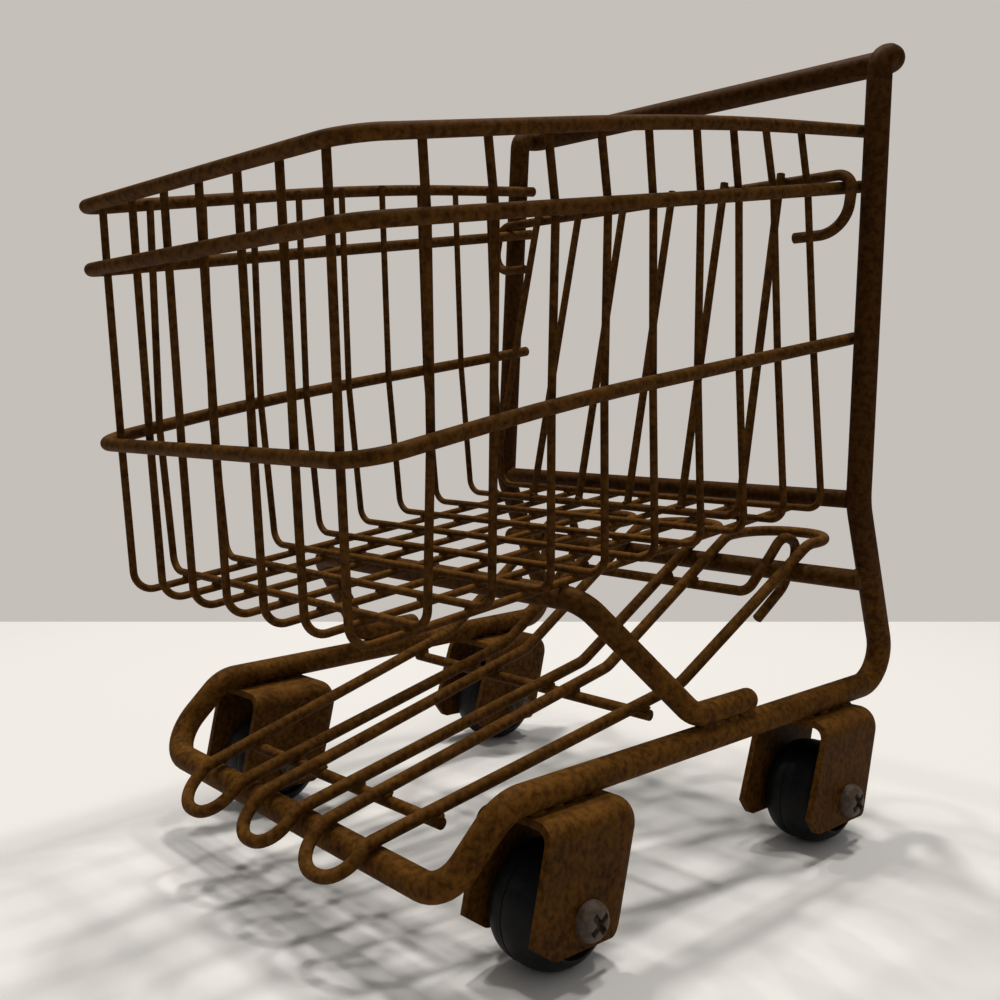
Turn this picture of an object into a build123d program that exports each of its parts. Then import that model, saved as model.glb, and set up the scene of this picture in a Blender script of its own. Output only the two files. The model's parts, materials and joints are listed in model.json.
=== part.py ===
"""Doll-size wire shopping cart: welded round wire, a hung rear gate, a lifting tray and four wheels.

Frame: the cart's front faces -Y, the handle is at +Y, +Z is up and the floor is Z = 0.
X = 0 is the mirror plane. All sizes are in millimetres.
"""

import os
from math import atan, cos, radians, sin, tan

from build123d import *

# ---- wire sizes --------------------------------------------------------------
FRAME_D = 6.4  # main loop: handle, posts, rails and nose
UPPER_BAR_D = 4.8
LOWER_BAR_D = 5.4
SUPPORT_D = 5.6
RING_D = 3.2
THIN_D = 1.8  # hoops and lengthwise wires of the basket
GATE_BAR_D = 2.8
GATE_WIRE_D = 2.2
TRAY_D = 3.0
TRAY_CROSS_D = 2.8

# ---- clearances --------------------------------------------------------------
WELD_GAP = 0.04  # between two wires that a weld joins
COPE_GAP = 0.35  # round a coped end, where a weld fills it
REST_GAP = 0.3  # between a moving wire and the one it rests on
SPIN_GAP = 0.06  # radial, wheel bore on axle
HOLE_GAP = 0.1  # radial, axle in the bracket's holes

# ---- main loop ---------------------------------------------------------------
HANDLE_Y = 79.6
HANDLE_Z = 204.0
HANDLE_X = 67.6
POST_TOP = (65.6, 72.2)
POST_KINK = (66.4, 66.2, 88.5)
RAIL_Z = 38.0
RAIL_REAR = (64.6, 87.0)
RAIL_NOSE = (61.8, -58.8)
RAIL_END_Y = {1: -58.8, -1: -48.0}  # the right rail is bent down further back
NOSE_Z = 20.5
NOSE_CORNER = {1: (55.2, -68.4), -1: (67.0, -62.7)}  # X outwards and Y, left and right
HANDLE_BEND = 0.58 * FRAME_D  # the tightest bend the rod takes
KINK_BEND = 14.0
HEEL_BEND = 9.0
NOSE_TOP_BEND = 8.0
NOSE_LOW_BEND = 10.0

# ---- basket ------------------------------------------------------------------
FLOOR_Z = 78.3  # lengthwise wires' centre height at Y = 0
FLOOR_SLOPE = 0.117  # rise per mm towards the handle
# each ring: front Y, height at the front, rise per mm, half width at the front, corner bend,
# then how far the side runs bow up, and the Y where they do so most
RIM = (-88.8, 160.9, 0.153, 54.4, 8.5, 2.6, 5.0)
SECOND = (-88.1, 146.3, 0.156, 54.4, 8.5, 0.0, 0.0)
THIRD = (-86.2, 105.0, 0.171, 54.4, 10.5, 2.0, -38.0)
BOW_BEND = 1100.0
HOOPS = 9
HOOP_TOP = (-70.5, 15.0)  # first hoop's Y and the pitch, at the rim
HOOP_MID = {1: (-68.9, 15.6), -1: (-69.6, 15.25)}  # the same at the third ring, left and right
HOOP_LOW = (-67.8, 15.8)  # the same at the floor
# the left legs stand unevenly: each one's Y at the second ring, and how far it leans forward above it
LEFT_LEGS = (-69.5, -52.9, -36.7, -21.3, -6.9, 9.6, 23.7, 37.6, 52.2)
LEFT_LEAN = (1.1, 2.0, 2.4, 2.5, 1.9, 2.1, 2.7, 3.9, 3.7)
HOOP_FOOT = (55.4, 0.08)  # half width at the floor at Y = 0, and its change per mm
HOOP_BEND = 4.0
LONG_WIRES = 7
LONG_PITCH = (15.0, 14.6, 15.4)  # at the rim, at the front bend, at the rear end
LONG_FRONT_Y = -81.6
LONG_REAR_Y = 69.0
LONG_BEND = 5.0
TIP_RISE = 0.6  # how far wire ends stand over the rim's centre

# ---- lower wires -------------------------------------------------------------
SUPPORT_Y = -23.2
SUPPORT_CORNER_X = 49.5
FOOT_Y = (0.5, 23.0)
TOE_ROUND = 2.2  # rounding of the support's ends

# ---- gate --------------------------------------------------------------------
GATE_Y = 62.0
GATE_FOOT_Y = 40.5
GATE_HALF = (44.8, 46.6)  # side wire's X at the bar and at the foot
HOOK_X = 64.7
HOOK_DROP = 15.6
HOOK_END_X = 50.0
HOOK_BENDS = (4.6, 7.6)

# ---- tray --------------------------------------------------------------------
TRAY_SLOPE = radians(31.0)  # steep part over the lower crossbar
TRAY_KINK_Y = 20.5
TRAY_LEVEL_Y = 72.2
TRAY_REAR = (88.9, 76.2)
REAR_BEND = 12.0
TRAY_NOSE_Y = -69.6
TRAY_TIP = (-77.6, 18.4)
# each strand: X at the tip, at the kink and at the rear
OUTER_STRAND = (32.4, 43.8, 49.8)
INNER_STRAND = (17.0, 19.6, 22.0)
CENTRE_STRAND = (7.0, 10.8, 12.6)
CROSS_Y = (-52.9, 8.0, 56.7)  # front, middle and hinge cross wires
CROSS_HALF = (36.6, 44.2, 39.0)
EYE_R = 8.0  # hinge hook's bend about the lower crossbar
EYE_X = 43.0

# ---- wheels ------------------------------------------------------------------
WHEEL_R = 13.0
CROWN = (0.9, 2.3)  # what the tread loses in radius, part way out and at its edges
HUB_R = 5.2
SEAM_OFF = 1.8  # the mould seam lies inboard of the wheel's middle
AXLE_D = 4.0
AXLE_Y = {"front": {1: -43.6, -1: -34.0}, "rear": {1: 54.5, -1: 56.0}}
WHEEL_IN = 2.2  # the wheels stand inboard of the rails
SHEET = 1.6
PLATE_ROUND = 3.0  # rounding of the plates' lower corners
SHEET_BEND = 4.2  # outside radius of the bracket's two folds
CHANNEL_IN = 17.8  # between the bracket's side plates
HUB_W = CHANNEL_IN - 0.6
WHEEL_W = CHANNEL_IN - 1.4
TOE = {"front": 9.6, "rear": 14.6}  # how far the plates' lower edge reaches before the axle
TOE_UP = {"front": 5.9, "rear": 3.4}  # and how much further its front corner does
HEAD_D = 8.4
HEAD_H = 3.1
NUT_AF = 7.0
NUT_H = 3.2


def ring_z(ring, y):
    """Centre height of a ring's side run, its bow included."""
    peak = ring[6]
    end = POST_KINK[1]
    share = (y - ring[0]) / (peak - ring[0]) if y < peak else (end - y) / (end - peak)
    return ring[1] + ring[2] * (y - ring[0]) + ring[5] * max(share, 0)


def floor_z(y):
    """Centre height of the lengthwise wires."""
    return FLOOR_Z + FLOOR_SLOPE * y


def hoop_floor_z(y):
    return floor_z(y) + (THIN_D + WELD_GAP) / cos(atan(FLOOR_SLOPE))


def post_at(z):
    """X and Y of the post's centre at a height."""
    if z < POST_KINK[2]:
        t = (POST_KINK[2] - z) / (POST_KINK[2] - RAIL_Z)
        low = RAIL_REAR
    else:
        t = (z - POST_KINK[2]) / (HANDLE_Z - POST_KINK[2])
        low = POST_TOP
    return (POST_KINK[0] + t * (low[0] - POST_KINK[0]), POST_KINK[1] + t * (low[1] - POST_KINK[1]))


def rail_x(y):
    t = (y - RAIL_NOSE[1]) / (RAIL_REAR[1] - RAIL_NOSE[1])
    return RAIL_NOSE[0] + t * (RAIL_REAR[0] - RAIL_NOSE[0])


def nose_y(x):
    """The nose bar is level but set askew: its Y at an X, left side positive."""
    left, right = NOSE_CORNER[1], NOSE_CORNER[-1]
    t = (left[0] - x) / (left[0] + right[0])
    return left[1] + t * (right[1] - left[1])


def bent(points, bends, d):
    """Round wire of diameter d along straight runs that meet in bends of the given radii."""
    given = [Vector(*p) for p in points]
    pts, radii = given[:1], []
    for corner, ahead, radius in zip(given[1:-1], given[2:], bends):
        if (corner - pts[-1]).get_angle(ahead - corner) > 0.5:
            pts.append(corner)
            radii.append(radius)
    pts.append(given[-1])
    edges = []
    at = pts[0]
    for i in range(1, len(pts) - 1):
        before = (pts[i] - pts[i - 1]).normalized()
        after = (pts[i + 1] - pts[i]).normalized()
        turn = radians(before.get_angle(after))
        back = radii[i - 1] * tan(turn / 2)
        start = pts[i] - before * back
        end = pts[i] + after * back
        inward = (after - before).normalized()
        sag = radii[i - 1] * (1 / cos(turn / 2) - 1)
        middle = pts[i] + inward * sag
        if (start - at).length > 1e-4:
            edges.append(Line(at, start))
        edges.append(ThreePointArc(start, middle, end))
        at = end
    edges.append(Line(at, pts[-1]))
    path = Wire(edges)
    section = Plane(origin=path @ 0, z_dir=path % 0) * Circle(d / 2)
    return sweep(section, path=path)


def mirrored(shape):
    """The shape and its twin across X = 0, as one solid."""
    return shape + mirror(shape, about=Plane.YZ)


def straight(a, b, d):
    return bent([a, b], [], d)


def frame_side(hand):
    """One side of the loop, from the handle's middle down and round to the nose bar's middle."""
    corner_x, corner_y = NOSE_CORNER[hand]
    end_y = RAIL_END_Y[hand]
    middle_x = (NOSE_CORNER[1][0] - NOSE_CORNER[-1][0]) / 2
    points = [
        (0, HANDLE_Y, HANDLE_Z),
        (HANDLE_X, HANDLE_Y, HANDLE_Z),
        (POST_TOP[0], POST_TOP[1], HANDLE_Z),
        POST_KINK,
        (RAIL_REAR[0], RAIL_REAR[1], RAIL_Z),
        (rail_x(end_y), end_y, RAIL_Z),
        (corner_x, corner_y, NOSE_Z),
        (hand * middle_x, nose_y(middle_x), NOSE_Z),
    ]
    bends = [HANDLE_BEND, HANDLE_BEND, KINK_BEND, HEEL_BEND, NOSE_TOP_BEND, NOSE_LOW_BEND]
    side = bent(points, bends, FRAME_D)
    if hand < 0:
        side = mirror(side, about=Plane.YZ)
    return side


def main_frame():
    """One closed loop: handle, both posts, both rails and the low nose bar."""
    return frame_side(1) + frame_side(-1)


def upper_bar_centre():
    reach = (THIN_D + UPPER_BAR_D) / 2 + WELD_GAP
    return (POST_KINK[1], floor_z(POST_KINK[1]) + reach / cos(atan(FLOOR_SLOPE)))


def lower_bar_centre():
    """The bar lies against the front of the posts' sloping part."""
    z = 67.8
    slope = atan((RAIL_REAR[1] - POST_KINK[1]) / (POST_KINK[2] - RAIL_Z))
    reach = (FRAME_D + LOWER_BAR_D) / 2 + WELD_GAP
    return (post_at(z)[1] - reach / cos(slope), z)


def rear_upper_crossbar():
    """Butted between the posts, its ends coped to fit them."""
    y, z = upper_bar_centre()
    x, post_y = post_at(z)
    half = straight((0, y, z), (x, y, z), UPPER_BAR_D)
    cope = straight((x, post_y, z - 20), (x, post_y, z + 20), FRAME_D + 2 * COPE_GAP)
    return mirrored(half - cope)


def rear_lower_crossbar():
    y, z = lower_bar_centre()
    x = post_at(z)[0] + 0.6
    return straight((-x, y, z), (x, y, z), LOWER_BAR_D)


def basket_support():
    """Inverted U under the basket floor, its feet lying on the rails."""
    top = floor_z(SUPPORT_Y) - ((THIN_D + SUPPORT_D) / 2 + WELD_GAP) / cos(atan(FLOOR_SLOPE))
    foot = RAIL_Z + (FRAME_D + SUPPORT_D) / 2 + WELD_GAP
    near, far = FOOT_Y
    half = bent(
        [
            (0, SUPPORT_Y, top),
            (SUPPORT_CORNER_X, SUPPORT_Y, top),
            (rail_x(near), near, foot),
            (rail_x(far), far, foot),
        ],
        [7.0, 6.0],
        SUPPORT_D,
    )
    toe = half.edges().filter_by(GeomType.CIRCLE).sort_by(Axis.Y)[-1]
    return mirrored(fillet(toe, TOE_ROUND))


def ring_end_y(ring):
    """A ring ends just behind the post's centre."""
    return post_at(ring_z(ring, POST_KINK[1]))[1] + 2.2


def ring_x(ring, y):
    """Half width of a ring: its end lies against the inside of the post."""
    end_y = ring_end_y(ring)
    end_x = post_at(ring_z(ring, end_y))[0] - (FRAME_D + RING_D) / 2 - 2 * WELD_GAP
    t = (y - ring[0]) / (end_y - ring[0])
    return ring[3] + t * (end_x - ring[3])


def basket_ring(ring):
    """Three-sided ring, open at the rear, rising towards the handle."""
    end_y = ring_end_y(ring)
    points = [(0, ring[0], ring[1]), (ring[3], ring[0], ring[1])]
    if ring[5] > 0:
        points.append((ring_x(ring, ring[6]), ring[6], ring_z(ring, ring[6])))
    points.append((ring_x(ring, end_y), end_y, ring_z(ring, end_y)))
    return mirrored(bent(points, [ring[4], BOW_BEND], RING_D))


def hoop_leg(k, hand):
    """Half of a hoop: from the floor's middle out and up one side, inside the rings."""
    inside = (RING_D + THIN_D) / 2 + WELD_GAP
    first, pitch = HOOP_MID[hand]
    y_mid = first + pitch * k
    y_low = HOOP_LOW[0] + HOOP_LOW[1] * k
    if hand > 0:
        y_second = LEFT_LEGS[k]
        y_top = y_second - LEFT_LEAN[k]
    else:
        y_top = HOOP_TOP[0] + HOOP_TOP[1] * k
        y_second = y_mid + 0.7 * (y_top - y_mid)
    x_low = HOOP_FOOT[0] + HOOP_FOOT[1] * y_low
    z_low = hoop_floor_z(y_low)
    points = [
        (0, y_low, z_low),
        (x_low, y_low, z_low),
        (ring_x(THIRD, y_mid) - inside, y_mid, ring_z(THIRD, y_mid)),
        (ring_x(SECOND, y_second) - inside, y_second, ring_z(SECOND, y_second)),
        (ring_x(RIM, y_top) - inside, y_top, ring_z(RIM, y_top) + TIP_RISE),
    ]
    leg = bent(points, [HOOP_BEND, 20.0, 12.0], THIN_D)
    if hand < 0:
        leg = mirror(leg, about=Plane.YZ)
    return leg


def basket_hoop(k):
    """Thin U: across the floor and up both sides."""
    return hoop_leg(k, 1) + hoop_leg(k, -1)


def basket_long_wire(k):
    """Thin wire down the front wall, round the front bend and back along the floor."""
    side = k - (LONG_WIRES - 1) / 2
    inside = (RING_D + THIN_D) / 2 + WELD_GAP
    x_top, x_low, x_rear = (side * pitch for pitch in LONG_PITCH)
    x_mid = (x_top + x_low) / 2
    points = [
        (x_top, RIM[0] + inside, RIM[1] + TIP_RISE),
        (x_top, SECOND[0] + inside, SECOND[1]),
        (x_mid, THIRD[0] + inside, THIRD[1]),
        (x_low, LONG_FRONT_Y, floor_z(LONG_FRONT_Y)),
        (x_rear, LONG_REAR_Y, floor_z(LONG_REAR_Y)),
    ]
    return bent(points, [12.0, 20.0, LONG_BEND], THIN_D)


def gate_pivot():
    """The gate's bar lies over the second ring's rear ends and turns there."""
    reach = (RING_D + GATE_BAR_D) / 2 + REST_GAP
    return (GATE_Y, ring_z(SECOND, GATE_Y) + reach / cos(atan(SECOND[2])))


def gate_point(x, down, out=0.0):
    """A point of the gate: down its plane from the bar, and out on the inward side."""
    y, z = gate_pivot()
    lean = gate_lean()
    return (x, y - down * sin(lean) - out * cos(lean), z - down * cos(lean) + out * sin(lean))


def gate_foot():
    """Y and Z of the foot wire, resting on the lengthwise wires."""
    reach = (THIN_D + GATE_WIRE_D) / 2 + REST_GAP
    return (GATE_FOOT_Y, floor_z(GATE_FOOT_Y) + reach / cos(atan(FLOOR_SLOPE)))


def gate_offset():
    return (GATE_BAR_D + GATE_WIRE_D) / 2 + WELD_GAP


def gate_lean():
    y, z = gate_pivot()
    foot_y, foot_z = gate_foot()
    span = ((y - foot_y) ** 2 + (z - foot_z) ** 2) ** 0.5
    return atan((y - foot_y) / (z - foot_z)) - gate_offset() / span


def gate_length():
    y, z = gate_pivot()
    foot_y, foot_z = gate_foot()
    return ((y - foot_y) ** 2 + (z - foot_z) ** 2 - gate_offset() ** 2) ** 0.5


def gate_top_bar():
    """Bar across the top; each end drops outside the second ring and turns back under it."""
    half = bent(
        [gate_point(0, 0), gate_point(HOOK_X, 0), gate_point(HOOK_X, HOOK_DROP), gate_point(HOOK_END_X, HOOK_DROP)],
        list(HOOK_BENDS),
        GATE_BAR_D,
    )
    return mirrored(half)


def gate_frame_wire():
    """U of thin wire welded under the bar: both sides and the foot."""
    out = gate_offset()
    low = gate_length()
    half = bent(
        [gate_point(0, low, out), gate_point(GATE_HALF[1], low, out), gate_point(GATE_HALF[0], -1.6, out)],
        [4.0],
        GATE_WIRE_D,
    )
    return mirrored(half)


def gate_wire(k):
    """One of the four upright wires between the gate's sides, outside the foot wire's plane."""
    part = (k - 1.5) / 2.5
    out = gate_offset()
    stop = gate_length() - GATE_WIRE_D / 2
    return straight(
        gate_point(GATE_HALF[0] * part, -1.6, out), gate_point(GATE_HALF[1] * part, stop, out), GATE_WIRE_D
    )


def tray_steep_z(y):
    """Steep run of the strands, clear of the lower crossbar by the rest gap."""
    bar_y, bar_z = lower_bar_centre()
    reach = (LOWER_BAR_D + TRAY_D) / 2 + REST_GAP
    return bar_z + reach / cos(TRAY_SLOPE) + (y - bar_y) * tan(TRAY_SLOPE)


def tray_front_z(y):
    """Long front run: from the kink down to its rest on the nose bar."""
    kink_z = tray_steep_z(TRAY_KINK_Y)
    rest_y = nose_y(OUTER_STRAND[0])
    reach = (FRAME_D + TRAY_D) / 2 + REST_GAP
    rest_z = NOSE_Z + reach / cos(atan((kink_z - NOSE_Z) / (TRAY_KINK_Y - rest_y)))
    return kink_z + (y - TRAY_KINK_Y) * (kink_z - rest_z) / (TRAY_KINK_Y - rest_y)


def strand(xs):
    """Side-view run of one strand, tip to rear, at the X values given."""
    x_tip, x_kink, x_rear = xs
    nose_x = x_tip + (x_kink - x_tip) * (TRAY_NOSE_Y - TRAY_TIP[0]) / (TRAY_KINK_Y - TRAY_TIP[0])
    level_x = x_kink + (x_rear - x_kink) * (TRAY_LEVEL_Y - TRAY_KINK_Y) / (TRAY_REAR[0] - TRAY_KINK_Y)
    return [
        (x_tip, TRAY_TIP[0], TRAY_TIP[1]),
        (nose_x, TRAY_NOSE_Y, tray_front_z(TRAY_NOSE_Y)),
        (x_kink, TRAY_KINK_Y, tray_front_z(TRAY_KINK_Y)),
        (level_x, TRAY_LEVEL_Y, tray_steep_z(TRAY_LEVEL_Y)),
        (x_rear, TRAY_REAR[0], TRAY_REAR[1]),
    ]


def half_loop(xs, middle):
    """One strand and half of each end bend, from the tip's middle to the rear's middle."""
    run = strand(xs)
    tip_bend = abs(xs[0] - middle[0]) - 0.3
    rear_bend = min(abs(xs[2] - middle[1]) - 1.0, REAR_BEND)
    points = [(middle[0],) + run[0][1:]] + run + [(middle[1],) + run[-1][1:]]
    return bent(points, [tip_bend, 3.0, 9.0, 9.0, rear_bend], TRAY_D)


def tray_side_loop(hand):
    """Closed loop of two strands at one side of the tray."""
    middle = ((OUTER_STRAND[0] + INNER_STRAND[0]) / 2, (OUTER_STRAND[2] + INNER_STRAND[2]) / 2)
    loop = half_loop(OUTER_STRAND, middle) + half_loop(INNER_STRAND, middle)
    if hand < 0:
        loop = mirror(loop, about=Plane.YZ)
    return loop


def tray_centre_loop():
    return mirrored(half_loop(CENTRE_STRAND, (0, 0)))


def tray_cross_wire(which):
    """Short wire welded under all six strands."""
    y = CROSS_Y[which]
    kink_z = tray_front_z(TRAY_KINK_Y)
    slope = atan((kink_z - tray_front_z(0)) / TRAY_KINK_Y)
    z = tray_front_z(y) - ((TRAY_D + TRAY_CROSS_D) / 2 + WELD_GAP) / cos(slope)
    return straight((-CROSS_HALF[which], y, z), (CROSS_HALF[which], y, z), TRAY_CROSS_D)


def tray_hinge_wire():
    """Rear cross wire; each end rises and hooks loosely round the lower crossbar."""
    y = CROSS_Y[2]
    z = tray_steep_z(y) - ((TRAY_D + TRAY_CROSS_D) / 2 + WELD_GAP) / cos(TRAY_SLOPE)
    bar_y, bar_z = lower_bar_centre()
    x = CROSS_HALF[2]
    turn = EYE_X - x
    half = bent(
        [
            (0, y, z),
            (x, y, z),
            (x + turn * 0.8, bar_y - EYE_R * 0.7, bar_z + EYE_R * 0.55),
            (EYE_X, bar_y - EYE_R * 0.1, bar_z + EYE_R * 1.25),
            (EYE_X, bar_y + EYE_R * 1.05, bar_z + EYE_R * 0.85),
            (EYE_X - 2.5, bar_y + EYE_R * 0.5, bar_z - EYE_R * 0.7),
            (EYE_X - 3.6, bar_y - EYE_R * 0.85, bar_z - EYE_R * 1.65),
        ],
        [3.6, 6.0, 5.0, 5.0, 6.0],
        TRAY_CROSS_D,
    )
    return mirrored(half)


def axle_place(end, hand):
    """Centre of a wheel: just inboard of the rail, Y and Z of its axle."""
    y = AXLE_Y[end][hand]
    return Vector(hand * (rail_x(y) - WHEEL_IN), y, WHEEL_R)


def wheel_bracket(end, hand):
    """Bent sheet channel welded under the rail, its plates reaching down past the axle."""
    at = axle_place(end, hand)
    top = RAIL_Z - FRAME_D / 2 - WELD_GAP - at.Z
    half = CHANNEL_IN / 2 + SHEET
    low = WHEEL_R - 7.6
    toe = TOE[end]
    outline = Polyline(
        (-10.2, top),
        (-toe - TOE_UP[end], -1.0),
        (-toe, -low),
        (8.0, -low - 0.8),
        (12.8, -1.0),
        (18.4, top),
        close=True,
    )
    side = make_face(outline)
    body = extrude(Plane.YZ.offset(-half) * side, amount=2 * half)
    across = body.edges().filter_by(Axis.X)
    body = fillet(across.sort_by(Axis.Y)[-1], 6.0)
    body = fillet(body.edges().filter_by(Axis.X).sort_by(Axis.Z)[:2], PLATE_ROUND)
    ridges = body.edges().filter_by(Axis.Y).group_by(Axis.Z)[-1]
    body = fillet(ridges, SHEET_BEND)
    hollow = Box(CHANNEL_IN, 80, 100)
    hollow = fillet(hollow.edges().filter_by(Axis.Y).group_by(Axis.Z)[-1], SHEET_BEND - SHEET)
    body -= Pos(0, 0, top - SHEET - 50) * hollow
    body -= Rot(0, 90, 0) * Cylinder(AXLE_D / 2 + HOLE_GAP, 40)
    return Pos(at) * body


def wheel(end, hand):
    """Moulded wheel: crowned tread with a seam, dished sides and a raised hub."""
    edge_r = WHEEL_R - CROWN[1]
    bore = AXLE_D / 2 + SPIN_GAP
    half = WHEEL_W / 2
    seam = -SEAM_OFF
    dish = [(half, edge_r - 1.5), (half, WHEEL_R - 4.2), (half - 1.2, WHEEL_R - 4.8)]
    hub = [(half - 1.2, HUB_R + 0.6), (HUB_W / 2, HUB_R), (HUB_W / 2, bore)]
    with BuildSketch(Plane.XZ) as section:
        with BuildLine():
            Polyline(
                (seam - 0.3, WHEEL_R - 0.12),
                (seam - 0.25, WHEEL_R - 0.12),
                (seam - 0.25, WHEEL_R),
                (seam + 0.25, WHEEL_R),
                (seam + 0.25, WHEEL_R - 0.12),
                (seam + 0.3, WHEEL_R - 0.12),
            )
            ThreePointArc(
                (seam + 0.3, WHEEL_R - 0.12),
                (half * 0.6, WHEEL_R - CROWN[0]),
                (half - 0.8, edge_r - 0.3),
            )
            Polyline((half - 0.8, edge_r - 0.3), *dish, *hub, *[(-x, r) for x, r in reversed(dish + hub)])
            Line((-half, edge_r - 1.5), (-half + 0.8, edge_r - 0.3))
            ThreePointArc(
                (-half + 0.8, edge_r - 0.3),
                (-half * 0.65, WHEEL_R - CROWN[0] + 0.1),
                (seam - 0.3, WHEEL_R - 0.12),
            )
        make_face()
    body = revolve(section.sketch, axis=Axis.X)
    if hand < 0:
        body = mirror(body, about=Plane.YZ)
    return Pos(axle_place(end, hand)) * body


def axle_screw(end, hand):
    """Pan-head screw with a cross recess; the head is on the outer plate."""
    half = CHANNEL_IN / 2 + SHEET + WELD_GAP
    length = 2 * half + NUT_H + 1.6
    shank = Pos(half - length / 2, 0, 0) * Rot(0, 90, 0) * Cylinder(AXLE_D / 2, length)
    head = Pos(half + HEAD_H / 2, 0, 0) * Rot(0, 90, 0) * Cylinder(HEAD_D / 2, HEAD_H)
    rim = head.edges().filter_by(GeomType.CIRCLE).sort_by(Axis.X)[-1]
    head = fillet(rim, HEAD_H * 0.8)
    slot = Box(3.2, 5.4, 1.5) + Box(3.2, 1.5, 5.4)
    head -= Pos(half + HEAD_H, 0, 0) * Rot(35, 0, 0) * slot
    body = shank + head
    if hand < 0:
        body = mirror(body, about=Plane.YZ)
    return Pos(axle_place(end, hand)) * body


def axle_nut(end, hand):
    half = CHANNEL_IN / 2 + SHEET + WELD_GAP
    hexagon = extrude(Plane.YZ * RegularPolygon(NUT_AF / 2, 6, major_radius=False), amount=NUT_H)
    body = hexagon - Rot(0, 90, 0) * Cylinder(AXLE_D / 2 + SPIN_GAP / 2, 20)
    body = Pos(-half - NUT_H, 0, 0) * body
    if hand < 0:
        body = mirror(body, about=Plane.YZ)
    return Pos(axle_place(end, hand)) * body


def save(shape, node):
    export_step(shape, f"parts/{node}.step")


def build():
    os.makedirs("parts", exist_ok=True)
    save(main_frame(), "main_frame")
    save(rear_upper_crossbar(), "rear_upper_crossbar")
    save(rear_lower_crossbar(), "rear_lower_crossbar")
    save(basket_support(), "basket_support")
    save(basket_ring(RIM), "basket_top_rim")
    save(basket_ring(SECOND), "basket_second_ring")
    save(basket_ring(THIRD), "basket_third_ring")
    for k in range(HOOPS):
        save(basket_hoop(k), f"basket_hoop_{k + 1}")
    for k in range(LONG_WIRES):
        save(basket_long_wire(k), f"basket_long_wire_{k + 1}")
    save(gate_top_bar(), "gate_top_bar")
    save(gate_frame_wire(), "gate_frame_wire")
    for k in range(4):
        save(gate_wire(k), f"gate_wire_{k + 1}")
    save(tray_side_loop(1), "tray_loop_left")
    save(tray_centre_loop(), "tray_loop_centre")
    save(tray_side_loop(-1), "tray_loop_right")
    save(tray_cross_wire(0), "tray_front_cross_wire")
    save(tray_cross_wire(1), "tray_mid_cross_wire")
    save(tray_hinge_wire(), "tray_hinge_wire")
    for end in ("front", "rear"):
        for hand, side in ((1, "left"), (-1, "right")):
            save(wheel_bracket(end, hand), f"wheel_bracket_{end}_{side}")
            save(wheel(end, hand), f"wheel_{end}_{side}")
            save(axle_screw(end, hand), f"axle_screw_{end}_{side}")
            save(axle_nut(end, hand), f"axle_nut_{end}_{side}")


build()
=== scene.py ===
# %% [markdown]
# # A doll-size wire shopping cart, left to rust
# The whole cart is bent and welded steel wire: one thick closed loop is the handle, the two posts, the
# rails and the nose, and everything else hangs on it. The shapes come from the fixed frame, so this
# lesson is about what makes bare wire look real: brown rust that differs from rod to rod, the small
# lumps that welding leaves at every crossing, dusty rubber, and a quiet studio.

# %% Load the fixed frame
import json
import math
import random

import bmesh
import bpy
import numpy as np
from mathutils import Matrix, Vector
from mathutils.bvhtree import BVHTree

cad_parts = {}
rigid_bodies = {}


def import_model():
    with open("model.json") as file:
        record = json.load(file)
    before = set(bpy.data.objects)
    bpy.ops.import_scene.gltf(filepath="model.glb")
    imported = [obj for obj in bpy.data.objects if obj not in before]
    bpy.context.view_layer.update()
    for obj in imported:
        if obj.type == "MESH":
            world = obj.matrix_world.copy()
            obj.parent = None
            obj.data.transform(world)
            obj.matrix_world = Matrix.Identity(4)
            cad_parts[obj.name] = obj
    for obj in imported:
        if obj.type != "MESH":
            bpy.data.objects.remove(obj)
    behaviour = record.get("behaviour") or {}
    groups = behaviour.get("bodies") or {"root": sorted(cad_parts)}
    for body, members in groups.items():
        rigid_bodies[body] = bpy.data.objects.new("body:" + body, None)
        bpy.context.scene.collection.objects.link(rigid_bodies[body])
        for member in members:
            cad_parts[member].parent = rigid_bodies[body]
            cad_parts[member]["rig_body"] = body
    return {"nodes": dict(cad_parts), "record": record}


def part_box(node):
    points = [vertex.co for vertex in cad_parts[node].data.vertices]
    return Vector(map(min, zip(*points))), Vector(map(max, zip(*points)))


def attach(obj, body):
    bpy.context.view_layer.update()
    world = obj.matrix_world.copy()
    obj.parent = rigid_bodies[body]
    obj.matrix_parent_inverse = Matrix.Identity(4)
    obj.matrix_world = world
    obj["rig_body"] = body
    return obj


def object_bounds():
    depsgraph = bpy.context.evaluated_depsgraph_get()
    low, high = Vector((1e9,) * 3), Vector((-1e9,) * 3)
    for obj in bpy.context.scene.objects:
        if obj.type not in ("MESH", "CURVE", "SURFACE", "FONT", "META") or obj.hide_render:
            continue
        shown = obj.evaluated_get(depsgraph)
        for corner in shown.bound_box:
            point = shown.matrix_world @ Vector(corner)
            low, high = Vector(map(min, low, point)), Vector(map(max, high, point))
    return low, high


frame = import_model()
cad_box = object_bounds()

MM = 0.001
nodes = frame["nodes"]
node_slots = {part["node"]: part["material_slot"] for part in frame["record"]["subparts"]}
low, high = cad_box
print("nodes:", len(nodes), "size in mm:", [round((b - a) / MM, 1) for a, b in zip(low, high)])

# %% [markdown]
# ## The camera
# A low three-quarter view from the cart's front left: the lens is a short one held close, so the near
# post and wheel look much larger than the far ones. A camera looks along its own -Z, and
# `to_track_quat` turns a direction into the rotation that does so.

# %% Camera
VIEW_AZIMUTH = math.radians(46.162)
VIEW_PITCH = math.radians(5.335)
CAMERA_PLACE = Vector((212.12, -204.15, 116.71)) * MM
LENS = 40.283  # for a sensor 36 wide

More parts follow.
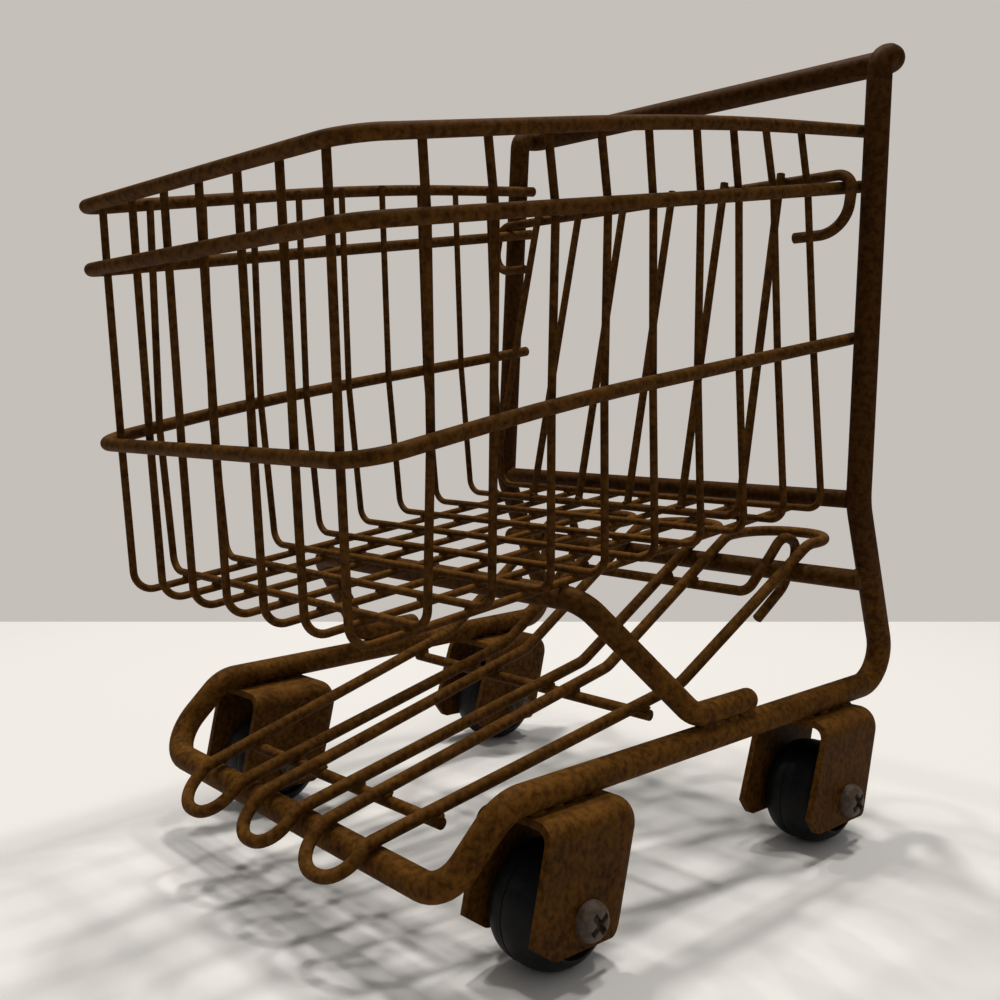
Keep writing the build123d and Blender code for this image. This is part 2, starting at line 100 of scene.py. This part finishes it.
looking = Vector((
    -math.sin(VIEW_AZIMUTH) * math.cos(VIEW_PITCH),
    math.cos(VIEW_AZIMUTH) * math.cos(VIEW_PITCH),
    -math.sin(VIEW_PITCH),
))
camera = bpy.data.objects.new("camera", bpy.data.cameras.new("camera"))
bpy.context.scene.collection.objects.link(camera)
camera.location = CAMERA_PLACE
camera.rotation_euler = looking.to_track_quat("-Z", "Y").to_euler()
camera.data.lens = LENS
camera.data.sensor_width = 36
camera.data.clip_start = 0.01
bpy.context.scene.camera = camera
print("camera to cart centre:", round((CAMERA_PLACE - (low + high) / 2).length / MM), "mm")

# %% [markdown]
# ## Table, backdrop and light
# The cart stands on a white table top that ends a little way behind it, before a pale wall. The wall
# is only the world's colour. Lamps above and behind throw the wires' shadows towards the viewer, and
# they are made fairly small so that the basket's grid can be seen in the shadow.

# %% Table top
TABLE_BEHIND = 277 * MM
TABLE_FRONT = 1.4
TABLE_SIDE = 1.6


def plain_material(name, colour, roughness):
    """A material with one colour: only the stage uses it."""
    material = bpy.data.materials.new(name)
    material.use_nodes = True
    shader = material.node_tree.nodes["Principled BSDF"]
    shader.inputs["Base Color"].default_value = (*colour, 1)
    shader.inputs["Roughness"].default_value = roughness
    return material


def object_from(bm, name, material):
    """Turns a finished bmesh into an object at the origin and frees the bmesh."""
    mesh = bpy.data.meshes.new(name)
    bm.to_mesh(mesh)
    bm.free()
    made = bpy.data.objects.new(name, mesh)
    bpy.context.scene.collection.objects.link(made)
    mesh.materials.append(material)
    return made


away = Vector((looking.x, looking.y, 0)).normalized()
across = Vector((-away.y, away.x, 0))
bm = bmesh.new()
bmesh.ops.create_grid(bm, x_segments=1, y_segments=1, size=1)
for v in bm.verts:
    reach = TABLE_BEHIND if v.co.y > 0 else -TABLE_FRONT
    v.co = away * reach + across * (v.co.x * TABLE_SIDE)
bmesh.ops.recalc_face_normals(bm, faces=bm.faces)
table_top = object_from(bm, "table_top", plain_material("white_table", (0.8, 0.785, 0.765), 0.6))
print("table reaches", round(TABLE_BEHIND / MM), "mm behind the cart")

# %% Backdrop colour and lamps
WALL_COLOUR = (0.56, 0.525, 0.49, 1)
FILL_COLOUR = (0.20, 0.197, 0.194, 1)

world = bpy.data.worlds.new("studio")
bpy.context.scene.world = world
world.use_nodes = True
sky = world.node_tree
background = sky.nodes["Background"]
ray = sky.nodes.new("ShaderNodeLightPath")
seen_or_lit = sky.nodes.new("ShaderNodeMix")
seen_or_lit.data_type = "RGBA"
seen_or_lit.inputs[6].default_value = FILL_COLOUR
seen_or_lit.inputs[7].default_value = WALL_COLOUR
sky.links.new(ray.outputs["Is Camera Ray"], seen_or_lit.inputs[0])
sky.links.new(seen_or_lit.outputs[2], background.inputs["Color"])
bpy.context.scene.view_settings.view_transform = "Standard"


def lamp(name, behind, side, height, size, watts, colour=(1, 0.97, 0.92)):
    """A square soft lamp aimed at the basket, placed along and across the view direction."""
    light = bpy.data.lights.new(name, "AREA")
    light.size = size
    light.energy = watts
    light.color = colour
    made = bpy.data.objects.new(name, light)
    bpy.context.scene.collection.objects.link(made)
    made.location = away * behind + across * side + Vector((0, 0, height))
    aim = Vector((0, 0, 0.08)) - made.location
    made.rotation_euler = aim.to_track_quat("-Z", "Y").to_euler()


lamp("ceiling_lamp_back", 0.42, 0.10, 1.1, 0.09, 4.9)
lamp("ceiling_lamp_back_left", 0.30, 0.42, 1.1, 0.09, 3.1)
lamp("ceiling_lamp_back_right", 0.26, -0.36, 1.1, 0.09, 3.1)
lamp("ceiling_lamp_over", -0.04, -0.12, 1.2, 0.12, 2.6)
lamp("room_light", -0.9, -0.3, 1.0, 0.9, 1.6)

# %% [markdown]
# ## Rust as a node group
# Old rust on wire is never one brown. Dark, smooth oxide covers most of a rod; softer ochre rust grows in
# patches and on what is low down where damp sits; and all of it is sprinkled with fine dark pits. What
# faces up is also pushed towards ochre: that is a painted highlight, which makes the tops lighter as if
# lit from above. One node group makes this from the Object coordinates, which are the row's own metres
# here, and each material places it with its own colours and shares. The group only puts out a colour, a
# roughness and a height: the shader itself stays in the material.


# %% Node group helpers
def new_group(name, inputs, outputs):
    """An empty shader node group with named sockets; returns its tree and its two end nodes."""
    tree = bpy.data.node_groups.new(name, "ShaderNodeTree")
    for label, kind, value in inputs:
        socket = tree.interface.new_socket(name=label, in_out="INPUT", socket_type=kind)
        if value is not None:
            socket.default_value = value
    for label, kind in outputs:
        tree.interface.new_socket(name=label, in_out="OUTPUT", socket_type=kind)
    return tree, tree.nodes.new("NodeGroupInput"), tree.nodes.new("NodeGroupOutput")


def noise(tree, vector, scale, detail=4.0, roughness=0.6, distortion=0.0):
    made = tree.nodes.new("ShaderNodeTexNoise")
    made.inputs["Scale"].default_value = scale
    made.inputs["Detail"].default_value = detail
    made.inputs["Roughness"].default_value = roughness
    made.inputs["Distortion"].default_value = distortion
    tree.links.new(vector, made.inputs["Vector"])
    return made.outputs["Fac"]


def math_node(tree, operation, a, b=None, clamp=False):
    made = tree.nodes.new("ShaderNodeMath")
    made.operation = operation
    made.use_clamp = clamp
    for socket, value in zip(made.inputs, (a, b)):
        if isinstance(value, (int, float)):
            socket.default_value = value
        elif value is not None:
            tree.links.new(value, socket)
    return made.outputs[0]


def ramp(tree, value, start, end, to_start=0.0, to_end=1.0):
    """Map Range with a smooth step: start becomes to_start and end becomes to_end."""
    made = tree.nodes.new("ShaderNodeMapRange")
    made.interpolation_type = "SMOOTHSTEP"
    for name, number in (("From Min", start), ("From Max", end), ("To Min", to_start), ("To Max", to_end)):
        made.inputs[name].default_value = number
    tree.links.new(value, made.inputs["Value"])
    return made.outputs["Result"]


def mix_colour(tree, share, a, b):
    made = tree.nodes.new("ShaderNodeMix")
    made.data_type = "RGBA"
    for socket, value in zip((made.inputs[0], made.inputs[6], made.inputs[7]), (share, a, b)):
        if isinstance(value, tuple):
            socket.default_value = value
        elif isinstance(value, (int, float)):
            socket.default_value = value
        else:
            tree.links.new(value, socket)
    return made.outputs[2]


# %% The rust group
PATCH = 120.0  # noise scale of the ochre patches, about 8 mm
MOTTLE = 650.0
PITS = 2600.0

rust_group, rust_in, rust_out = new_group(
    "rust_patina",
    [
        ("Position", "NodeSocketVector", None),
        ("Oxide", "NodeSocketColor", (0.016, 0.006, 0.002, 1)),
        ("Brown", "NodeSocketColor", (0.042, 0.017, 0.005, 1)),
        ("Ochre", "NodeSocketColor", (0.17, 0.08, 0.02, 1)),
        ("Ochre Share", "NodeSocketFloat", 0.4),
        ("Painted Top Highlight Share", "NodeSocketFloat", 0.35),
    ],
    [("Color", "NodeSocketColor"), ("Roughness", "NodeSocketFloat"), ("Height", "NodeSocketFloat")],
)
position = rust_in.outputs["Position"]
patch = noise(rust_group, position, PATCH, 3.0, 0.55, 0.6)
mottle = noise(rust_group, position, MOTTLE, 5.0, 0.65)
pits = noise(rust_group, position, PITS, 2.0, 0.7)

# Painted highlight: the upward part of the normal lifts the tops towards ochre, so what faces up is
# lighter as if lit from above.
facing = rust_group.nodes.new("ShaderNodeNewGeometry")
facing_parts = rust_group.nodes.new("ShaderNodeSeparateXYZ")
rust_group.links.new(facing.outputs["Normal"], facing_parts.inputs[0])
painted_top_highlight_mask = ramp(rust_group, facing_parts.outputs["Z"], -0.2, 0.9)

patchy = math_node(rust_group, "MULTIPLY", ramp(rust_group, patch, 0.26, 0.72, 0.25, 1.0), 0.75)
mottled = math_node(rust_group, "MULTIPLY", ramp(rust_group, mottle, 0.35, 0.65), 0.5)
raw = math_node(rust_group, "ADD", patchy, mottled)
painted_top_lift = math_node(rust_group, "MULTIPLY", painted_top_highlight_mask, rust_in.outputs["Painted Top Highlight Share"])
spread = math_node(rust_group, "MULTIPLY", raw, rust_in.outputs["Ochre Share"])
share = math_node(rust_group, "ADD", spread, painted_top_lift)
broken_up = ramp(rust_group, mottle, 0.2, 0.6, 0.45, 1.0)
# This mask holds the real ochre patches and the painted top highlight together.
ochre_and_top_highlight_mask = math_node(rust_group, "MULTIPLY", share, broken_up, clamp=True)

brown_mask = ramp(rust_group, mottle, 0.32, 0.62)
base = mix_colour(rust_group, brown_mask, rust_in.outputs["Oxide"], rust_in.outputs["Brown"])
rusted = mix_colour(rust_group, ochre_and_top_highlight_mask, base, rust_in.outputs["Ochre"])
pit_mask = ramp(rust_group, pits, 0.56, 0.72, 0.0, 0.55)
rust_group.links.new(
    mix_colour(rust_group, pit_mask, rusted, rust_in.outputs["Oxide"]), rust_out.inputs["Color"]
)
rust_group.links.new(
    math_node(rust_group, "ADD", math_node(rust_group, "MULTIPLY", ochre_and_top_highlight_mask, 0.3), 0.5, clamp=True),
    rust_out.inputs["Roughness"],
)
relief = math_node(rust_group, "ADD", mottle, math_node(rust_group, "MULTIPLY", pits, 0.6))
relief = math_node(rust_group, "ADD", relief, math_node(rust_group, "MULTIPLY", ochre_and_top_highlight_mask, 0.25))
rust_group.links.new(relief, rust_out.inputs["Height"])
print("rust group nodes:", len(rust_group.nodes))

# %% [markdown]
# ## House dust as a second group
# Pale dust settles on what faces up and breaks into clumps. It is a mask only, so that rust and rubber
# can each mix their own dust colour with it.

# %% The dust group
CLUMPS = 650.0  # noise scale, clumps of a millimetre or two

dust_group, dust_in, dust_out = new_group(
    "settled_dust",
    [("Position", "NodeSocketVector", None), ("Amount", "NodeSocketFloat", 0.2)],
    [("Mask", "NodeSocketFloat")],
)
dust_facing = dust_group.nodes.new("ShaderNodeNewGeometry")
dust_parts = dust_group.nodes.new("ShaderNodeSeparateXYZ")
dust_group.links.new(dust_facing.outputs["Normal"], dust_parts.inputs[0])
settles = ramp(dust_group, dust_parts.outputs["Z"], -0.4, 0.95, 0.25, 1.0)
clump_noise = noise(dust_group, dust_in.outputs["Position"], CLUMPS, 6.0, 0.7)
clumps = ramp(dust_group, clump_noise, 0.42, 0.75)
lies = math_node(dust_group, "MULTIPLY", settles, clumps)
dust_mask = math_node(dust_group, "MULTIPLY", lies, dust_in.outputs["Amount"], clamp=True)
dust_group.links.new(dust_mask, dust_out.inputs["Mask"])

# %% [markdown]
# ## The rusted finishes
# Every slot of the record gets its own mixture. The thick loop changes along its height: the posts and
# handle are rubbed dark and smooth by hands, while the rails near the table are ochre. The thin wires of
# the basket are darkest, the tray and the floor the most orange.

# %% Rusted metal
DUST_COLOUR = (0.27, 0.20, 0.14, 1)
RUST_RELIEF = 0.12 * MM
LOW_ZONE = (0.045, 0.085)  # metres: ochre below the first height, hand-rubbed above the second


def place_group(material, tree_name, label):
    made = material.node_tree.nodes.new("ShaderNodeGroup")
    made.node_tree = bpy.data.node_groups[tree_name]
    made.label = label
    return made


def add_relief(tree, height, strength, depth):
    """A Bump node between a height and the shader's Normal."""
    relief = tree.nodes.new("ShaderNodeBump")
    relief.inputs["Strength"].default_value = strength
    relief.inputs["Distance"].default_value = depth
    tree.links.new(height, relief.inputs["Height"])
    tree.links.new(relief.outputs["Normal"], tree.nodes["Principled BSDF"].inputs["Normal"])


def rusted_metal(name, browns, ochre_share, painted_top_highlight_share, dust, bump, low_share=None, gloss=0.03):
    """Rust in three browns, dust over it and a fine relief. low_share adds ochre towards the table."""
    material = bpy.data.materials.new(name)
    material.use_nodes = True
    tree = material.node_tree
    shader = tree.nodes["Principled BSDF"]
    shader.inputs["Specular IOR Level"].default_value = gloss
    place = tree.nodes.new("ShaderNodeTexCoord").outputs["Object"]
    rust = place_group(material, "rust_patina", "rust")
    tree.links.new(place, rust.inputs["Position"])
    for socket, colour in zip(("Oxide", "Brown", "Ochre"), browns):
        rust.inputs[socket].default_value = (*colour, 1)
    rust.inputs["Ochre Share"].default_value = ochre_share
    # Painted highlight: this share makes the up-facing sides lighter ochre.
    rust.inputs["Painted Top Highlight Share"].default_value = painted_top_highlight_share
    if low_share is not None:
        heights = tree.nodes.new("ShaderNodeSeparateXYZ")
        tree.links.new(place, heights.inputs[0])
        near_table = ramp(tree, heights.outputs["Z"], *LOW_ZONE, low_share, ochre_share)
        tree.links.new(near_table, rust.inputs["Ochre Share"])
    dusty = place_group(material, "settled_dust", "dust")
    tree.links.new(place, dusty.inputs["Position"])
    dusty.inputs["Amount"].default_value = dust
    colour = mix_colour(tree, dusty.outputs["Mask"], rust.outputs["Color"], DUST_COLOUR)
    tree.links.new(colour, shader.inputs["Base Color"])
    tree.links.new(rust.outputs["Roughness"], shader.inputs["Roughness"])
    add_relief(tree, rust.outputs["Height"], bump, RUST_RELIEF)
    return material


# OCHRE is the rust's own ochre, and it is also the colour of the painted highlight on the up-facing sides.
OXIDE = (0.0165, 0.0054, 0.0008)
BROWN = (0.037, 0.0136, 0.0024)
OCHRE = (0.145, 0.060, 0.0085)
RUST = (OXIDE, BROWN, OCHRE)
SCREW_RUST = ((0.028, 0.018, 0.013), (0.075, 0.052, 0.042), (0.10, 0.06, 0.03))

# In each row the second number is the painted top highlight, which makes the up-facing sides lighter
# ochre.
finishes = {
    "frame_rod": rusted_metal("rusted_frame_rod", RUST, 0.10, 0.22, 0.03, 0.45, low_share=0.62),
    "ring_wire": rusted_metal("rusted_ring_wire", RUST, 0.35, 0.3, 0.05, 0.5),
    "thin_wire": rusted_metal("rusted_thin_wire", RUST, 0.3, 0.55, 0.04, 0.5),
    "gate_wire": rusted_metal("rusted_gate_wire", RUST, 0.3, 0.3, 0.05, 0.5),
    "tray_wire": rusted_metal("rusted_tray_wire", RUST, 0.45, 0.4, 0.08, 0.6),
    "bracket_sheet": rusted_metal("rusted_bracket_sheet", RUST, 0.4, 0.45, 0.05, 0.4),
    "fastener_steel": rusted_metal("rusted_fastener", SCREW_RUST, 0.25, 0.2, 0.08, 0.4, gloss=0.3),
}
print("rusted finishes:", sorted(finishes))

# %% [markdown]
# ## Black rubber
# The wheels are moulded black rubber, satin where they roll and grey with dust above. Dust raises the
# roughness, so the same mask feeds both.


# %% Rubber
RUBBER = ((0.003, 0.003, 0.0034, 1), (0.006, 0.006, 0.0066, 1))
RUBBER_DUST = (0.10, 0.095, 0.09, 1)
SCUFFS = 900.0
SCUFF_DEPTH = 0.06 * MM


def dusty_rubber(name):
    material = bpy.data.materials.new(name)
    material.use_nodes = True
    tree = material.node_tree
    shader = tree.nodes["Principled BSDF"]
    shader.inputs["Specular IOR Level"].default_value = 0.14
    place = tree.nodes.new("ShaderNodeTexCoord").outputs["Object"]
    dusty = place_group(material, "settled_dust", "dust")
    tree.links.new(place, dusty.inputs["Position"])
    dusty.inputs["Amount"].default_value = 0.06
    scuff = noise(tree, place, SCUFFS, 5.0, 0.7)
    black = mix_colour(tree, ramp(tree, scuff, 0.4, 0.7), *RUBBER)
    colour = mix_colour(tree, dusty.outputs["Mask"], black, RUBBER_DUST)
    tree.links.new(colour, shader.inputs["Base Color"])
    rough = math_node(tree, "ADD", math_node(tree, "MULTIPLY", scuff, 0.25), 0.38)
    rough = math_node(tree, "ADD", rough, dusty.outputs["Mask"], clamp=True)
    tree.links.new(rough, shader.inputs["Roughness"])
    add_relief(tree, scuff, 0.25, SCUFF_DEPTH)
    return material


finishes["black_rubber"] = dusty_rubber("dusty_black_rubber")

# %% Give each node its finish
for name, node in nodes.items():
    material = finishes[node_slots[name]]
    if not node.material_slots:
        node.data.materials.append(material)
    for material_slot in node.material_slots:
        material_slot.material = material
print("nodes given a finish:", len(nodes))

# %% [markdown]
# ## Weld nuggets
# Wherever two wires of the cart touch they are welded, and each weld leaves a small lump. Placing two
# hundred lumps by hand would be slow and would break when a wire moves, so they are found: points along
# the wires are tested against their neighbours, and where the gap is under 0.16 mm there is a joint. The
# crossbars' coped ends stand further off, so they have their own reach. Moving bodies only rest on each
# other, so only pairs on the same body are welded.

# %% Find the joints
SAMPLE = 0.6 * MM  # spacing of test points along an edge
WELD_REACH = 0.16 * MM
COPED_REACH = 0.45 * MM  # the crossbars' ends are cut round the posts with a wider gap
APART = 3.0 * MM  # hits nearer than this belong to one joint


def sampled(node):
    """The node's vertices and points along its long edges, as an array of rows."""
    mesh = node.data
    co = np.empty(len(mesh.vertices) * 3)
    mesh.vertices.foreach_get("co", co)
    co = co.reshape(-1, 3)
    ends = np.empty(len(mesh.edges) * 2, int)
    mesh.edges.foreach_get("vertices", ends)
    a, b = co[ends[0::2]], co[ends[1::2]]
    steps = np.ceil(np.linalg.norm(b - a, axis=1) / SAMPLE).astype(int)
    points = [co]
    for count in np.unique(steps[steps > 1]):
        chosen = steps == count
        for k in range(1, count):
            points.append(a[chosen] + (b[chosen] - a[chosen]) * (k / count))
    return np.vstack(points)


def surface(node):
    return BVHTree.FromPolygons(
        [v.co for v in node.data.vertices], [tuple(p.vertices) for p in node.data.polygons]
    )


welded = {
    name: (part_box(name), sampled(node), surface(node))
    for name, node in nodes.items()
    if not name.startswith(("axle_", "wheel_front", "wheel_rear"))
}


def joints_between(thin, thick):
    """Places and directions where the thin wire lies against the thick one."""
    reach = COPED_REACH if thin.endswith("crossbar") or thick.endswith("crossbar") else WELD_REACH
    (low_a, high_a), points, _ = welded[thin]
    (low_b, high_b), _, tree = welded[thick]
    low_both = np.maximum(low_a, low_b) - reach
    high_both = np.minimum(high_a, high_b) + reach
    if (low_both > high_both).any():
        return []
    near = points[((points >= low_both) & (points <= high_both)).all(axis=1)]
    found = []
    for point in near:
        place, normal, _, _ = tree.find_nearest(Vector(point), reach)
        if place is None:
            continue
        for joint in found:
            if (joint["at"] - place).length < APART:
                joint["hits"] += 1
                joint["at"] += (place - joint["at"]) / joint["hits"]
                joint["across"] += normal
                break
        else:
            found.append({"at": place.copy(), "across": normal.copy(), "hits": 1, "pair": (thin, thick)})
    return found


THICKNESS_ORDER = ["thin_wire", "gate_wire", "tray_wire", "ring_wire", "frame_rod", "bracket_sheet"]
by_thickness = sorted(welded, key=lambda name: (THICKNESS_ORDER.index(node_slots[name]), name))
joints = []
for i, thin in enumerate(by_thickness):
    for thick in by_thickness[i + 1:]:
        if nodes[thin]["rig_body"] == nodes[thick]["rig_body"]:
            joints += joints_between(thin, thick)
print("welded joints found:", len(joints))

# %% Make the nuggets
NUGGET = {  # radius and half thickness in mm, by the thinner wire's slot
    "thin_wire": (1.25, 0.62),
    "gate_wire": (1.4, 0.7),
    "tray_wire": (1.9, 1.0),
    "ring_wire": (2.1, 1.15),
    "frame_rod": (2.6, 1.3),
    "bracket_sheet": (0.8, 0.3),
}
# Its second number, 0.3, is the painted top highlight on the nuggets.
weld_rust = rusted_metal("rusted_weld", RUST, 0.4, 0.3, 0.04, 0.8)


def add_nugget(bm, place, direction, radius, half_height, luck):
    """One lump of weld: a squashed ball, thin along the line between the two wires."""
    turn = direction.to_track_quat("Z", "Y").to_matrix().to_4x4()
    spin = Matrix.Rotation(luck.uniform(0, math.tau), 4, "Z")
    stretch = Matrix.Diagonal((
        radius * luck.uniform(0.85, 1.15),
        radius * luck.uniform(0.8, 1.05),
        half_height * luck.uniform(0.85, 1.1),
        1,
    ))
    shape = Matrix.Translation(place) @ turn @ spin @ stretch
    made = bmesh.ops.create_uvsphere(bm, u_segments=10, v_segments=6, radius=1, matrix=shape)
    for v in made["verts"]:
        v.co += (v.co - place) * luck.uniform(-0.08, 0.1)


for body in ("chassis", "gate", "tray"):
    luck = random.Random(7)
    bm = bmesh.new()
    here = [j for j in joints if nodes[j["pair"][0]]["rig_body"] == body]
    for joint in here:
        radius, half_height = NUGGET[node_slots[joint["pair"][0]]]
        add_nugget(bm, joint["at"], joint["across"].normalized(), radius * MM, half_height * MM, luck)
    bmesh.ops.recalc_face_normals(bm, faces=bm.faces)
    for face in bm.faces:
        face.smooth = True
    nuggets = object_from(bm, f"weld_nuggets_{body}", weld_rust)
    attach(nuggets, body)
    print(nuggets.name, "lumps:", len(here), "faces:", len(nuggets.data.polygons))
